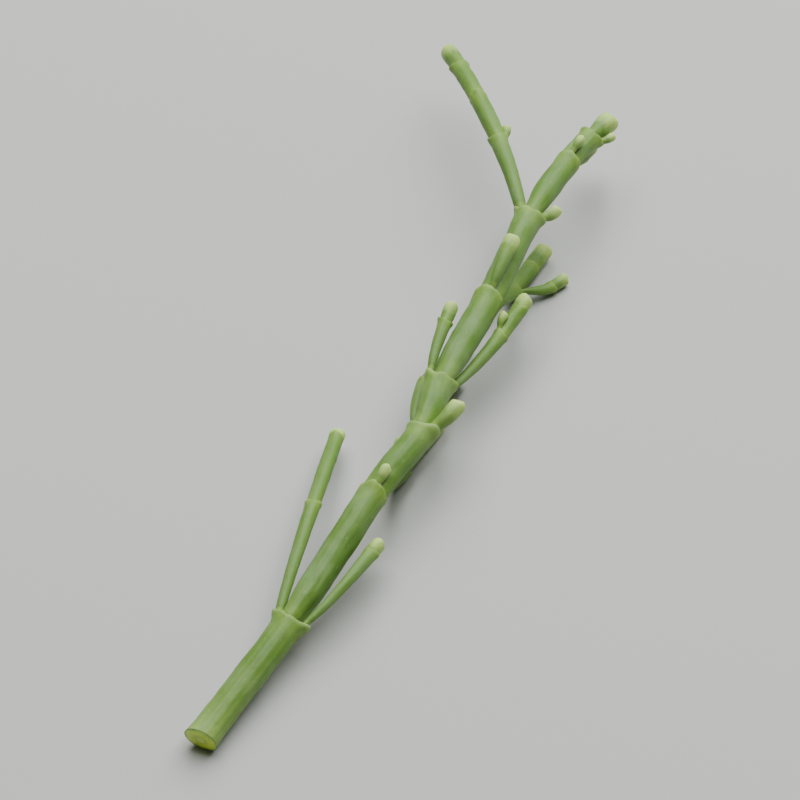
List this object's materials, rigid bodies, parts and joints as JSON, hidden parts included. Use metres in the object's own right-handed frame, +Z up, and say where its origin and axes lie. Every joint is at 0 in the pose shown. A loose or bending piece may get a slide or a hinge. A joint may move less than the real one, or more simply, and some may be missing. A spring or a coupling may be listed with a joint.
{
  "type": "samphire sprig",
  "caption": "Cut sprig of marsh samphire lying on its side: a jointed fleshy main stem with opposite side shoots, twigs and buds.",
  "frame": {"origin": "middle of the sprig's box at the level of the surface that it lies on", "axes": "+X along the main stem from its cut end to its tip, +Z up from the surface"},
  "size_m": [0.1154, 0.0344, 0.0141],
  "materials": {
    "stem_skin": "waxy, soft gloss, with a pale bloom",
    "shoot_skin": "waxy, soft gloss",
    "bud_skin": "waxy, soft gloss"
  },
  "bodies": {
    "root": {"main_stem": "stem_skin", "shoot_1_right": "shoot_skin", "shoot_1_left": "shoot_skin", "bud_2_top": "bud_skin", "shoot_2_under": "shoot_skin", "twig_2_under_left": "shoot_skin", "bud_3_right": "bud_skin", "shoot_3_left": "shoot_skin", "twig_3_left_inner": "shoot_skin", "shoot_4_right": "shoot_skin", "bud_4_right_inner": "bud_skin", "shoot_4_left": "shoot_skin", "shoot_5_top": "shoot_skin", "shoot_5_under": "shoot_skin", "twig_5_under_right": "shoot_skin", "bud_5_under_left": "bud_skin", "bud_6_right": "bud_skin", "shoot_6_left": "shoot_skin", "bud_6_left_inner": "bud_skin", "bud_7_top": "bud_skin", "shoot_7_under": "shoot_skin", "bud_8_right": "bud_skin"}
  },
  "joints": []
}
